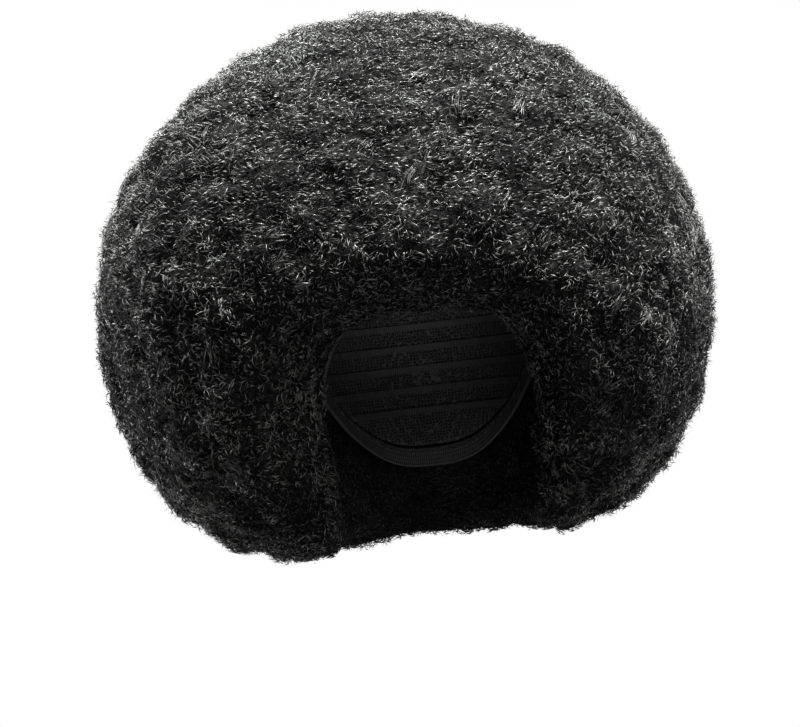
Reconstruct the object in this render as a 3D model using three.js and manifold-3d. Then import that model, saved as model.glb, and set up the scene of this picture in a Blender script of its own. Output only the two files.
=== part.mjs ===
// An oversized afro wig: a ball of frizz, gathered in locks, round a stretch cap with an elastic
// band at its edge. Millimetres, +Z up. The opening for the face looks along -Y. The origin is
// inside the top of the cap, at the crown, where the wig rests when it is worn.
import * as THREE from "three";
import { mergeVertices } from "three/addons/utils/BufferGeometryUtils.js";
import Module from "manifold-3d";

const { clamp, degToRad, lerp, radToDeg, smoothstep } = THREE.MathUtils;
const wasm = await Module();
wasm.setup();

// The hollow, measured inside the cap.
const hollowWidth = 156;
const hollowLength = 196;
const crownHeight = 92; // from the hollow's widest ring up to the crown
const hollowDepth = 206; // from the crown down to the inner edge of the hair at the nape
const neckNarrowing = 0.1; // share of its widest ring that the hollow loses towards the neck
const neckFall = 74; // how far below the widest ring it has lost all of that

// The cap, the band at its edge and the gaps between the pieces.
const capWall = 2;
const capDepth = 160; // from the crown down to the nape, with the band
const bandHeight = 14;
const bandWall = 2.6;
const seamGap = 0.3;
const hairCover = 4; // how far the hair comes down past the band

// The ball of hair. Its middle lies behind the crown, below it and a little to one side.
const hairWidth = 430;
const hairLength = 400;
const hairHeight = 384;
const middleBehind = 35;
const middleBelow = 35;
const middleAside = -9;
const lipRound = 60; // how softly the ball turns into the opening
const openingPitch = 60; // degrees that the opening for face and neck looks down from level

// The locks that the hair is gathered into.
const lockPitch = 49; // from one lock to the next over the ball
const lockRelief = 7; // from the creases between the locks to their tips
const lockUnevenness = 3; // by which one lock can outgrow the next
const lockWander = 8; // how far a lock strays from an even spacing
const lipLocks = 20; // round the opening
const lipRelief = 9;

// The rise of a lock in shares of lockRelief: at its tip, half-way out and in its creases, on
// the line between two locks and at the point where three meet.
const lockRise = { tip: 1, shoulder: 0.72, crease: 0.14, corner: 0 };
const shoulderReach = 0.52; // from a lock's tip to its shoulder, as a share of the way out

// The edge of the cap by the turn from the face in degrees, in shares of capDepth.
const capEdge = [
  { turn: 0, drop: 0.31 },
  { turn: 30, drop: 0.32 },
  { turn: 50, drop: 0.42 },
  { turn: 63, drop: 0.6 },
  { turn: 75, drop: 0.74 }, // tab in front of the ear
  { turn: 82, drop: 0.74 },
  { turn: 95, drop: 0.62 }, // over the ear
  { turn: 110, drop: 0.64 },
  { turn: 130, drop: 0.82 },
  { turn: 155, drop: 0.97 },
  { turn: 180, drop: 1 },
];

// How full the ball is against a plain ellipsoid, by elevation in degrees.
const fullness = [
  { elevation: -90, share: 0.97 },
  { elevation: -74, share: 1 },
  { elevation: -60, share: 1.05 },
  { elevation: -48, share: 1.077 },
  { elevation: -36, share: 1.068 },
  { elevation: -18, share: 1.03 },
  { elevation: 0, share: 1 },
  { elevation: 20, share: 0.992 },
  { elevation: 45, share: 0.995 },
  { elevation: 90, share: 1.01 },
];

// The opening for face and neck, going round it in degrees from forehead to nape. Spread is how
// far the opening reaches from its axis over the ball, in degrees. Turn and drop give its inner
// edge on the hollow, with drop in shares of hollowDepth.
const opening = [
  { round: 0, spread: 67, turn: 0, drop: 0.2 },
  { round: 19, spread: 67, turn: 30, drop: 0.2 },
  { round: 29, spread: 63, turn: 46, drop: 0.25 },
  { round: 37, spread: 54.5, turn: 56, drop: 0.38 },
  { round: 46.5, spread: 42, turn: 61, drop: 0.58 },
  { round: 63, spread: 31, turn: 63, drop: 0.8 },
  { round: 90, spread: 26.5, turn: 70, drop: 0.97 },
  { round: 117, spread: 32, turn: 92, drop: 1 },
  { round: 133, spread: 42, turn: 112, drop: 0.995 },
  { round: 149, spread: 52, turn: 138, drop: 0.98 },
  { round: 165, spread: 58, turn: 160, drop: 0.96 },
  { round: 180, spread: 60, turn: 180, drop: 0.95 },
];

// Facets of the solids.
const capColumns = 40;
const capRows = 9;
const neckRows = 4;
const bandSides = 4;
const lipColumns = 60;
const lipRows = 5;
const mouthRows = 4;

// Reads a column of a table between its rows, as a smooth curve that is level at both ends.
function read(table, key, column, at) {
  const last = table.length - 1;
  const place = clamp(at, table[0][key], table[last][key]);
  const i = Math.max(1, table.findIndex((row) => row[key] >= place));
  const [a, b] = [table[i - 1], table[i]];
  const span = b[key] - a[key];
  const slope = (from, to) => ((to[column] - from[column]) / (to[key] - from[key])) * span;
  const leaving = i > 1 ? slope(table[i - 2], b) : 0;
  const arriving = i < last ? slope(a, table[i + 1]) : 0;
  const t = (place - a[key]) / span;
  const rest = 1 - t;
  return (
    a[column] * (1 + 2 * t) * rest * rest +
    leaving * t * rest * rest +
    b[column] * t * t * (3 - 2 * t) -
    arriving * t * t * rest
  );
}

// An uneven share between 0 and 1 that is the same each time for the same number.
function uneven(number) {
  const scrambled = Math.sin(number * 12.9898) * 43758.5453;
  return scrambled - Math.floor(scrambled);
}

// A point of the hollow's wall by its turn from the face in radians and its drop below the
// crown, standing so far out from the wall.
function hollowPoint(turn, drop, out) {
  const below = drop - crownHeight;
  const fall = Math.acos(clamp(1 - drop / crownHeight, 0, 1));
  const ring = below < 0 ? Math.sin(fall) : 1 - neckNarrowing * smoothstep(below, 0, neckFall);
  const rise = below < 0 ? (crownHeight + out) * Math.cos(fall) : -below;
  return new THREE.Vector3(
    (hollowWidth / 2 + out) * ring * Math.sin(turn),
    -(hollowLength / 2 + out) * ring * Math.cos(turn),
    rise - crownHeight,
  );
}

// The drop of a row between the crown and a deeper edge, closer together near the crown.
function rowDrop(edge, share) {
  const widest = Math.PI / 2;
  const fall = edge < crownHeight ? Math.acos(1 - edge / crownHeight) : widest + edge / crownHeight - 1;
  const at = fall * share;
  return at < widest ? crownHeight * (1 - Math.cos(at)) : crownHeight * (1 + at - widest);
}

// The drop of the finished edge of the cap at a turn from the face in radians, either way.
function edgeDrop(turn) {
  return capDepth * read(capEdge, "turn", "drop", Math.abs(radToDeg(turn)));
}

// The cap's surface: down its outside to the band, then up its inside.
function capPoint(turn, row) {
  const outside = row < capRows;
  const share = (outside ? row : 2 * capRows - 1 - row) / (capRows - 1);
  return hollowPoint(turn, rowDrop(edgeDrop(turn) - bandHeight - seamGap, share), outside ? capWall : 0);
}

// The band's surface, with a corner at each step: foot and top outside, then top and foot inside.
function bandPoint(turn, corner) {
  const top = corner === 1 || corner === 2;
  const out = corner < 2 ? capWall : capWall - bandWall;
  return hollowPoint(turn, edgeDrop(turn) - (top ? bandHeight : 0), out);
}

// The space that the hair leaves free: round cap and band with a gap, then on down to the neck.
function clearPoint(turn, row) {
  const out = capWall + seamGap;
  const capEnd = edgeDrop(turn) - bandHeight - seamGap;
  if (row < capRows) return hollowPoint(turn, rowDrop(capEnd, row / (capRows - 1)), out);
  const foot = hollowDepth + lipRound + lockPitch;
  if (row > capRows + neckRows) return new THREE.Vector3(0, 0, -foot);
  const share = (row - capRows) / neckRows;
  return hollowPoint(turn, lerp(edgeDrop(turn), foot, share * share), out);
}

// A point of the ball in one direction from its middle, so deep below the tips of the locks.
function ballPoint(way, depth) {
  const fill = read(fullness, "elevation", "share", radToDeg(Math.asin(clamp(way.z, -1, 1))));
  return new THREE.Vector3(
    (hairWidth / 2 - depth) * fill * way.x + middleAside,
    (hairLength / 2 - depth) * fill * way.y + middleBehind,
    (hairHeight / 2 - depth) * fill * way.z - middleBelow,
  );
}

// The opening's own directions: out along its axis, up to the forehead and across.
const pitch = degToRad(openingPitch);
const openingOut = new THREE.Vector3(0, -Math.cos(pitch), -Math.sin(pitch));
const openingUp = new THREE.Vector3(0, -Math.sin(pitch), Math.cos(pitch));
const openingAcross = new THREE.Vector3(1, 0, 0);

// A direction by how far it is turned round the opening's axis and spread away from it.
function wayFromOpening(round, spread) {
  return new THREE.Vector3()
    .addScaledVector(openingOut, Math.cos(spread))
    .addScaledVector(openingUp, Math.sin(spread) * Math.cos(round))
    .addScaledVector(openingAcross, Math.sin(spread) * Math.sin(round));
}

// How far the opening spreads over the ball at a turn round its axis, both in radians.
function openingSpread(round) {
  return degToRad(read(opening, "round", "spread", Math.abs(radToDeg(round))));
}

// The curve on which the hair turns from the outside of the ball into the hollow.
function lipCurve(round) {
  const degrees = Math.abs(radToDeg(round));
  const turn = (Math.sign(round) || 1) * degToRad(read(opening, "round", "turn", degrees));
  const drop = hollowDepth * read(opening, "round", "drop", degrees);
  const spread = openingSpread(round);
  const rim = ballPoint(wayFromOpening(round, spread), lockRelief);
  const before = ballPoint(wayFromOpening(round, spread + degToRad(1)), lockRelief);
  const onward = rim.clone().sub(before).normalize();
  const outward = rim.clone().sub(ballPoint(wayFromOpening(round, spread), 2 * lockRelief)).normalize();
  const inner = hollowPoint(turn, Math.max(edgeDrop(turn) + hairCover, drop), 0);
  return new THREE.CubicBezierCurve3(
    rim.clone().addScaledVector(outward, 2 * lockRelief).addScaledVector(onward, -lipRound / 4),
    rim.clone().addScaledVector(onward, lipRound / 2),
    inner.clone().lerp(rim, 0.35).addScaledVector(onward, lipRound / 6),
    inner,
  );
}

// The space that the opening takes out of the ball: from the middle of the hollow out over the
// lip, which is gathered in locks, and then on outside the ball.
function openingPoint(round, row) {
  if (row === 0) return new THREE.Vector3(0, 0, -crownHeight / 2);
  if (row <= lipRows + 1) {
    const share = 1 - (row - 1) / lipRows;
    const gather = Math.cos(lipLocks * round + Math.PI * row) / 2 + 1 / 2;
    const inset = lipRelief * Math.sin(Math.PI * share) * gather;
    const inward = openingOut.clone().sub(wayFromOpening(round, Math.PI / 2)).normalize();
    return lipCurve(round).getPoint(share).addScaledVector(inward, inset);
  }
  const share = (row - lipRows - 1) / mouthRows;
  const beyond = ballPoint(wayFromOpening(round, openingSpread(round) * (1 - share)), -hairHeight / 8);
  return share < 1 ? beyond : ballPoint(openingOut, -hairHeight / 8);
}

// Moves each point of a closed form to where `place` puts it, and closes its seams.
function shaped(form, place) {
  const { position, uv } = form.attributes;
  for (let i = 0; i < position.count; i++) {
    const point = place(uv.getX(i), uv.getY(i));
    position.setXYZ(i, point.x, point.y, point.z);
  }
  form.deleteAttribute("normal");
  form.deleteAttribute("uv");
  const closed = mergeVertices(form, 1e-3);
  closed.computeVertexNormals();
  return closed;
}

// The turn of one column out of so many, in radians between half a turn back and half on.
function columnTurn(column, columns) {
  return (2 * Math.PI * (column > columns / 2 ? column - columns : column)) / columns;
}

// A closed skin over rows that start and end in a pole.
function skin(columns, rows, point) {
  return shaped(new THREE.SphereGeometry(1, columns, rows), (u, v) =>
    point(columnTurn(Math.round(u * columns) % columns, columns), Math.round((1 - v) * rows)),
  );
}

// A closed ring with one section all the way round. Its quads split the way a skin's do, so that
// the two lie flush.
function ring(columns, sides, point) {
  const section = Array.from({ length: sides + 1 }, (_, i) => new THREE.Vector2(1, i));
  return shaped(new THREE.LatheGeometry(section, columns), (u, v) =>
    point(columnTurn(Math.round(u * columns) % columns, columns), Math.round(v * sides) % sides),
  );
}

// Turns a closed form into a solid that can be joined and cut.
function solidOf(form) {
  return new wasm.Manifold(
    new wasm.Mesh({
      numProp: 3,
      vertProperties: new Float32Array(form.attributes.position.array),
      triVerts: new Uint32Array(form.index.array),
    }),
  );
}

// Turns a solid back into a form.
function formOf(solid) {
  const mesh = solid.getMesh();
  const form = new THREE.BufferGeometry();
  form.setAttribute("position", new THREE.BufferAttribute(mesh.vertProperties, 3));
  form.setIndex(new THREE.BufferAttribute(mesh.triVerts, 1));
  form.computeVertexNormals();
  return form;
}

// The ball, whole: a lock rises over each corner of a fine icosahedron, down to creases half-way
// to its neighbours.
function ball() {
  const across = (hairWidth + hairLength + hairHeight) / 3;
  const count = (Math.PI * across * across) / (lockPitch * lockPitch * Math.sin(Math.PI / 3));
  const lattice = new THREE.IcosahedronGeometry(1, Math.round(Math.sqrt(count / 10)) - 1);
  lattice.deleteAttribute("normal");
  lattice.deleteAttribute("uv");
  const { index, attributes } = mergeVertices(lattice, 1e-4);
  const tips = Array.from({ length: attributes.position.count }, (_, i) => {
    const stray = new THREE.Vector3(uneven(i), uneven(i + 0.3), uneven(i + 0.6)).subScalar(0.5);
    const even = new THREE.Vector3().fromBufferAttribute(attributes.position, i);
    return {
      way: even.addScaledVector(stray, (4 * lockWander) / across).normalize(),
      growth: lockUnevenness * (uneven(i + 0.8) - 0.5),
    };
  });
  const corners = [];
  for (let i = 0; i < index.count; i += 3) {
    const three = [0, 1, 2].map((k) => tips[index.getX(i + k)]);
    const middle = averageWay(three);
    for (const [k, tip] of three.entries()) {
      for (const side of [1, 2]) {
        const halfWay = averageWay([tip, three[(k + side) % 3]]);
        const fan = lockFan(tip, halfWay, middle);
        corners.push(...(side === 1 ? fan : fan.reverse()));
      }
    }
  }
  const form = new THREE.BufferGeometry().setFromPoints(corners);
  return mergeVertices(form, 1e-3);
}

// The direction in the middle of some tips.
function averageWay(tips) {
  return tips.reduce((sum, { way }) => sum.add(way), new THREE.Vector3()).normalize();
}

// One of the fans that make up a lock: three triangles from its tip to the crease.
function lockFan({ way, growth }, crease, corner) {
  const place = (out, rise, grown) => ballPoint(out, lockRelief * (1 - rise) - grown);
  const shoulder = (end) => way.clone().lerp(end, shoulderReach).normalize();
  const top = place(way, lockRise.tip, growth);
  const besideCrease = place(shoulder(crease), lockRise.shoulder, growth / 2);
  const besideCorner = place(shoulder(corner), lockRise.shoulder, growth / 2);
  const creaseEnd = place(crease, lockRise.crease, 0);
  const cornerEnd = place(corner, lockRise.corner, 0);
  return [
    ...[top, besideCrease, besideCorner],
    ...[besideCrease, creaseEnd, cornerEnd],
    ...[besideCrease, cornerEnd, besideCorner],
  ];
}

function hair() {
  const mouth = skin(lipColumns, 1 + lipRows + mouthRows, openingPoint);
  const clear = skin(capColumns, capRows + neckRows + 1, clearPoint);
  return formOf(solidOf(ball()).subtract(solidOf(mouth)).subtract(solidOf(clear)));
}

function piece(name, geometry, colour, roughness) {
  const material = new THREE.MeshStandardMaterial({ color: colour, roughness, metalness: 0 });
  const mesh = new THREE.Mesh(geometry, material);
  mesh.name = name;
  return mesh;
}

const wig = new THREE.Group();
wig.add(
  piece("hair", hair(), 0x161616, 0.6),
  piece("wig_cap", skin(capColumns, 2 * capRows - 1, capPoint), 0x101011, 0.9),
  piece("edge_band", ring(capColumns, bandSides, bandPoint), 0x131314, 0.8),
);

export default wig;
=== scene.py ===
"""An oversized afro wig: a ball of frizz over a stretch cap with an elastic band at its edge."""

import math
from collections import namedtuple

import bmesh
import bpy
import numpy as np
from bpy.props import FloatProperty, FloatVectorProperty, IntProperty, PointerProperty
from mathutils import Matrix, Vector, noise
from mathutils.bvhtree import BVHTree


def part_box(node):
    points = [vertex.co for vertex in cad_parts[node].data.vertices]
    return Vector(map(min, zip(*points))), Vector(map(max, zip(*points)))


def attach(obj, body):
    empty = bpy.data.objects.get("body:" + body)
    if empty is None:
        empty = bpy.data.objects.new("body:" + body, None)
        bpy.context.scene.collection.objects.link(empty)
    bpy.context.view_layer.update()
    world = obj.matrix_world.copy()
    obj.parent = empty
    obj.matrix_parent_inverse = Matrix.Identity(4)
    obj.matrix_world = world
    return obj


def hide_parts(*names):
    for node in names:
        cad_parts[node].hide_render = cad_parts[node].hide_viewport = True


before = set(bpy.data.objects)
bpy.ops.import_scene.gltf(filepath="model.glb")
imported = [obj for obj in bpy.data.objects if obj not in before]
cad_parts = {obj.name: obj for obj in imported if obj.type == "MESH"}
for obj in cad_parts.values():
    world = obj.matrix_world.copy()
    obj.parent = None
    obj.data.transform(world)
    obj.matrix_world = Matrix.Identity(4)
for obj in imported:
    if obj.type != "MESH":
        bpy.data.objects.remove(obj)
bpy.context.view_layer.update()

bl_info = {
    "name": "Afro Wig",
    "version": (1, 0, 0),
    "blender": (4, 5, 0),
    "location": "3D View > Sidebar > Afro Wig",
    "description": "Dresses an oversized afro wig with frizz, a stretch cap and an elastic band",
    "category": "Object",
}

BODY = "root"
HAIR, CAP, BAND = "hair", "wig_cap", "edge_band"
HAIR_SLOT, CAP_SLOT, BAND_SLOT = "hair", "cap_net", "band_elastic"
HAIR_PIECE, BAND_PIECE = "hair_mass", "elastic_band"
ROUND_MAP = "round"
MM = 0.001
TURN = 2 * math.pi

hair_low, hair_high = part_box(HAIR)
cap_low, cap_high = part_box(CAP)
ball_middle = (hair_low + hair_high) / 2
cap_middle = (cap_low + cap_high) / 2
cap_girth = math.pi * (cap_high.x - cap_low.x)


def length(name, description, default):
    """A length in metres that a user can set."""
    return FloatProperty(
        name=name, description=description, default=default, min=0, unit="LENGTH", precision=5
    )


def share(name, description, default):
    """A share from 0 to 1 that a user can set."""
    return FloatProperty(name=name, description=description, default=default, min=0, max=1, subtype="FACTOR")


def angle(name, description, default):
    """An angle that a user can set, given in degrees."""
    return FloatProperty(name=name, description=description, default=math.radians(default), subtype="ANGLE")


def colour(name, description, default):
    """A colour that a user can set."""
    return FloatVectorProperty(
        name=name, description=description, default=default, size=3, min=0, max=1, subtype="COLOR"
    )


def count(name, description, default):
    """A number of things that a user can set."""
    return IntProperty(name=name, description=description, default=default, min=1)


class HairSettings(bpy.types.PropertyGroup):
    """Sizes and colours of the hair."""

    voxel: length("Facet Size", "Size of the facets of the soft ball", 4.5 * MM)
    puff_size: length("Puff Size", "Distance from one puff of frizz to the next", 24 * MM)
    puff_height: length("Puff Height", "How far a puff rises over its creases", 4 * MM)
    clump_size: length("Clump Size", "Distance from one small clump of strands to the next", 13 * MM)
    clump_height: length("Clump Height", "How far a small clump rises over the gaps round it", 2.2 * MM)
    skin_depth: length("Skin Depth", "How far the dense hair lies under the tips of the fuzz", 2.1 * MM)
    seat_gap: length("Seat Gap", "Room that the hair leaves round cap and band", 1.2 * MM)
    under_count: count("Under Strands", "Dull strands that lie lowest over the whole ball", 42000)
    frizz_count: count("Frizz Strands", "Glossy strands of frizz over the whole ball", 56000)
    tuft_count: count("Tufts", "Tufts of longer strands that lie side by side", 330)
    tuft_strands: count("Strands In A Tuft", "Strands that one tuft holds", 11)
    fuzz_count: count("Fuzz", "Fine short hairs that stand up all over the ball", 33000)
    strand_width: length("Strand Width", "Width of a strand of frizz at its middle", 0.88 * MM)
    fuzz_width: length("Fuzz Width", "Width of a hair of the fuzz at its middle", 0.32 * MM)
    combing: share("Combing", "How far the frizz lies level over the upper part of the ball", 0.72)
    # Painted light and shade: the deep colour is the hair's own near-black, which the tones also use for
    # painted shade in creases; the outer colour is a light grey for painted glints and painted light on
    # strands and fuzz.
    deep: colour("Deep Colour", "Colour of the hair in its creases", (0.0028, 0.0029, 0.0027))
    outer: colour("Outer Colour", "Colour of the hair at its outside", (0.380, 0.390, 0.372))


class CapSettings(bpy.types.PropertyGroup):
    """Sizes and colours of the cap and its band."""

    row_pitch: length("Row Pitch", "Height from one sewn row of the cap to the next", 15 * MM)
    tape_height: length("Tape Height", "Height of the tape along a sewn row", 4.5 * MM)
    tape_wall: length("Tape Wall", "Thickness of the tape along a sewn row", 0.7 * MM)
    stitch_pitch: length("Stitch Pitch", "Length of one stitch", 3.6 * MM)
    net_pitch: length("Net Pitch", "Width of one mesh of the net", 2.2 * MM)
    band_ribs: count("Band Ribs", "Ribs that run along the elastic band", 5)
    rib_height: length("Rib Height", "How far a rib stands out of the band", 0.45 * MM)
    weave_pitch: length("Weave Pitch", "Distance from one thread of tape and band to the next", 1.4 * MM)
    net: colour("Net Colour", "Colour of the net", (0.028, 0.028, 0.029))
    thread: colour("Thread Colour", "Colour of the stitches", (0.11, 0.11, 0.11))
    elastic: colour("Elastic Colour", "Colour of the elastic band", (0.045, 0.045, 0.046))


class StageSettings(bpy.types.PropertyGroup):
    """The camera and the floor."""

    camera_distance: length("Camera Distance", "From the camera to the crown", 1.9)
    picture_width: length("Picture Width", "Width of what the camera sees at the crown", 0.544)
    lean: angle("Lean", "How far the wig leans to the left in the picture", 6.5)
    aim_aside: length("Aim Aside", "How far left of the opening the camera aims", 20.4 * MM)
    aim_above: length("Aim Above", "How far above the opening the camera aims", 33 * MM)
    floor_below: length("Floor Below", "Height of the crown over the floor", 2.6)
    floor: colour("Floor Colour", "Colour of the floor", (0.86, 0.86, 0.85))


def settings(context):
    """The settings of hair, cap and stage."""
    scene = context.scene
    return scene.afro_hair, scene.afro_cap, scene.afro_stage


# Meshes and pieces.


def smooth_share(values, low, high):
    """Goes smoothly from 0 at low to 1 at high."""
    t = np.clip((values - low) / (high - low), 0, 1)
    return t * t * (3 - 2 * t)


def place(name, mesh, material, slot, *replaced):
    """Puts a mesh into the scene as a piece of the wig."""
    piece = bpy.data.objects.new(name, mesh)
    bpy.context.scene.collection.objects.link(piece)
    mesh.materials.clear()
    mesh.materials.append(material)
    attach(piece, BODY)
    if replaced:
        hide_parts(*replaced)


def merged_copy(node):
    """A CAD node's mesh as a bmesh, with its loose triangles merged."""
    bm = bmesh.new()
    bm.from_mesh(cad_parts[node].data)
    bmesh.ops.remove_doubles(bm, verts=bm.verts, dist=0.001 * MM)
    return bm


def finished(bm, name, smooth=True):
    """Turns a bmesh into a mesh, with its faces shaded smooth or flat."""
    for face in bm.faces:
        face.smooth = smooth
    mesh = bpy.data.meshes.new(name)
    bm.to_mesh(mesh)
    bm.free()
    return mesh


def modified(bm, name, kind, **values):
    """The bmesh that one modifier makes of another."""
    piece = bpy.data.objects.new(name, finished(bm, name))
    bpy.context.scene.collection.objects.link(piece)
    modifier = piece.modifiers.new(name, kind)
    for key, value in values.items():
        setattr(modifier, key, value)
    evaluated = piece.evaluated_get(bpy.context.evaluated_depsgraph_get())
    result = bmesh.new()
    result.from_mesh(bpy.data.meshes.new_from_object(evaluated))
    bpy.data.objects.remove(piece)
    return result


def node_tree(*nodes):
    """A search tree over the surfaces of some CAD nodes."""
    bm = bmesh.new()
    for node in nodes:
        bm.from_mesh(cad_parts[node].data)
    tree = BVHTree.FromBMesh(bm)
    bm.free()
    return tree


def store(mesh, name, values):
    """Keeps one number for each vertex of a mesh."""
    attribute = mesh.attributes.new(name, "FLOAT", "POINT")
    attribute.data.foreach_set("value", np.ascontiguousarray(values, np.float32))


def stored(mesh, name):
    """The number kept for each vertex of a mesh."""
    values = np.empty(len(mesh.vertices), np.float32)
    mesh.attributes[name].data.foreach_get("value", values)
    return values


# Strands.


TINY = 1e-9
STRAND_SIDES = 3
TIP_TAPER = 0.45
TO_AND_FRO = 0.45
BEND_SHARES = (0.6, 1.3)

# The upward part of the way out from the ball, where strands begin and cease to lie level.
LEVEL_BEGINS, LEVEL_ENDS = (0.0, 0.25), (0.7, 0.92)

# Where the hollow ends, in half widths and lengths of the cap from its middle.
HOLLOW_EDGE = (1.0, 1.3)


def unit(vectors):
    """Vectors made one long."""
    return vectors / np.maximum(np.linalg.norm(vectors, axis=-1, keepdims=True), TINY)


def turned(vectors, axes, angles):
    """Vectors turned round axes by angles."""
    cos, sin = np.cos(angles)[:, None], np.sin(angles)[:, None]
    along = (vectors * axes).sum(1, keepdims=True) * axes
    return vectors * cos + np.cross(axes, vectors) * sin + along * (1 - cos)


def eased(values, where, by):
    """Values made less where a share is high, by at most a given share of them."""
    return values * (1 - by * where)


class Field:
    """A direction that changes smoothly from place to place: a sum of waves round one size."""

    WAVES = 7
    FINENESS = (0.5, 1.6)

    def __init__(self, rng, size):
        self.waves = unit(rng.normal(size=(self.WAVES, 3))) * (TURN / size)
        self.waves *= rng.uniform(*self.FINENESS, (self.WAVES, 1))
        self.phases = rng.uniform(0, TURN, self.WAVES)
        self.ways = rng.normal(size=(self.WAVES, 3))

    def at(self, points):
        """The direction at each point."""
        return np.sin(points @ self.waves.T + self.phases) @ self.ways


class Growth:
    """The surface that strands grow on, as arrays."""

    CLUMP_SEED = 3
    CLUMP_SWING = 2.2
    CLUMP_RISE = 0.8
    HIGHEST_RISE = 1.25

    # The room off cap and band in which strands begin to grow, and small clumps to rise.
    GROWING_ROOM = (5 * MM, 11 * MM)
    RISING_ROOM = (6 * MM, 14 * MM)

    def __init__(self, piece, clump_size, clump_height):
        mesh = piece.data
        self.clumps = Field(np.random.default_rng(self.CLUMP_SEED), clump_size)
        self.clump_height = clump_height
        mesh.calc_loop_triangles()
        self.points = np.empty((len(mesh.vertices), 3), np.float32)
        mesh.vertices.foreach_get("co", self.points.ravel())
        self.normals = np.empty_like(self.points)
        mesh.vertices.foreach_get("normal", self.normals.ravel())
        self.triangles = np.empty((len(mesh.loop_triangles), 3), np.int32)
        mesh.loop_triangles.foreach_get("vertices", self.triangles.ravel())
        self.rise = stored(mesh, "rise")
        self.room = stored(mesh, "room")
        a, b, c = (self.points[self.triangles[:, k]] for k in range(3))
        areas = np.linalg.norm(np.cross(b - a, c - a), axis=1)
        room = self.room[self.triangles].mean(1)
        weights = areas * smooth_share(room, *self.GROWING_ROOM)
        self.share = weights / weights.sum()

    def scatter(self, rng, number):
        """Roots spread evenly and raised on small clumps: where they are, which way is out, how high
        on puffs and clumps they lie, and how much room they have."""
        picked = rng.choice(len(self.triangles), number, p=self.share)
        weights = rng.dirichlet((1, 1, 1), number)
        corners = self.triangles[picked]

        def mean(values):
            """The values at the roots, from those at the corners round them."""
            return np.einsum("nk,nk...->n...", weights, values[corners])

        points, normals, room = mean(self.points), unit(mean(self.normals)), mean(self.room)
        clump = smooth_share(self.clumps.at(points)[:, 0], -self.CLUMP_SWING, self.CLUMP_SWING)
        free = smooth_share(room, *self.RISING_ROOM)
        points = points + normals * ((clump - 0.5) * self.clump_height * free)[:, None]
        rise = np.clip(mean(self.rise) + self.CLUMP_RISE * (clump - 0.5), 0, self.HIGHEST_RISE)
        return points, normals, rise, room


def strand_lines(rng, roots, normals, ways, lengths, tilts, bends, droops, segments):
    """Bent lines of hair. Each starts at its root along its way, tilted outwards, then bends from
    segment to segment to one side or to and fro, and droops back to the surface."""
    number = len(roots)
    across = unit(np.cross(normals, ways))
    along = unit(np.cross(across, normals))
    heading = along * np.cos(tilts)[:, None] + normals * np.sin(tilts)[:, None]
    lines = [roots]
    side = rng.choice((-1.0, 1.0), number)
    fro = np.where(rng.random(number) < TO_AND_FRO, -1.0, 1.0)
    for step in range(segments):
        lines.append(lines[-1] + heading * (lengths / segments)[:, None])
        turn = bends * side * fro**step * rng.uniform(*BEND_SHARES, number)
        heading = turned(heading, normals, turn)
        heading = turned(heading, unit(np.cross(normals, heading)), droops)
    return np.stack(lines, 1)


def strand_mesh(name, rng, lines, widths, tones):
    """One mesh of closed strands that taper to both ends, each a ball with few sides drawn out along
    its line. The lines give their points, and tones the shade of each point."""
    number, points = lines.shape[:2]
    bm = bmesh.new()
    bmesh.ops.create_uvsphere(bm, u_segments=STRAND_SIDES, v_segments=points - 1, radius=1)
    ball = np.array([v.co for v in bm.verts])
    faces = [[v.index for v in face.verts] for face in bm.faces]
    bm.free()
    row = np.rint(np.arccos(np.clip(ball[:, 2], -1, 1)) * (points - 1) / math.pi).astype(int)
    turn = np.arctan2(ball[:, 1], ball[:, 0])

    ahead = lines[:, np.minimum(np.arange(points) + 1, points - 1)]
    behind = lines[:, np.maximum(np.arange(points) - 1, 0)]
    way = unit(ahead - behind)
    side = unit(np.cross(way, unit(rng.normal(size=(number, 1, 3)))))
    up = np.cross(side, way)
    middle = (points - 1) / 2
    taper = 1 - TIP_TAPER * np.abs(np.arange(points) - middle) / middle
    taper[[0, -1]] = 0
    radius = widths[:, None] / 2 * taper
    round_it = side[:, row] * np.cos(turn)[:, None] + up[:, row] * np.sin(turn)[:, None]
    places = lines[:, row] + round_it * radius[:, row, None]

    corners = np.array([corner for face in faces for corner in face])
    starts = np.cumsum([0] + [len(face) for face in faces[:-1]])
    offsets = np.arange(number)[:, None]
    mesh = bpy.data.meshes.new(name)
    mesh.vertices.add(number * len(ball))
    mesh.vertices.foreach_set("co", np.ascontiguousarray(places, np.float32).ravel())
    mesh.loops.add(number * len(corners))
    mesh.loops.foreach_set("vertex_index", (corners + offsets * len(ball)).ravel())
    mesh.polygons.add(number * len(faces))
    mesh.polygons.foreach_set("loop_start", (starts + offsets * len(corners)).ravel())
    mesh.update(calc_edges=True)
    store(mesh, "tone", tones[:, row].ravel())
    return mesh


def clear_of_cap(lines, room, gap):
    """Which lines stay clear of cap and band, by the room at their roots."""
    tree = node_tree(CAP, BAND)
    reach = np.linalg.norm(lines - lines[:, :1], axis=2).max(1)
    clear = np.ones(len(lines), bool)
    for i in np.flatnonzero(room < reach + gap):
        clear[i] = all(tree.find_nearest(Vector(point), gap)[0] is None for point in lines[i])
    return clear


def level_share(normals):
    """How far strands lie level by the way out, most where the ball turns from front to top."""
    upwards = normals[:, 2]
    return smooth_share(upwards, *LEVEL_BEGINS) * (1 - smooth_share(upwards, *LEVEL_ENDS))


def hollow_share(points):
    """How far points lie inside the hollow for head and neck, from 0 outside to 1 inside."""
    half = (cap_high - cap_low) / 2
    around = np.hypot((points[:, 0] - cap_middle.x) / half.x, (points[:, 1] - cap_middle.y) / half.y)
    return (1 - smooth_share(around, *HOLLOW_EDGE)) * (points[:, 2] < 0)


# Materials.


# The values between which soft noise mostly lies.
NOISE_RANGE = (0.3, 0.7)

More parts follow.
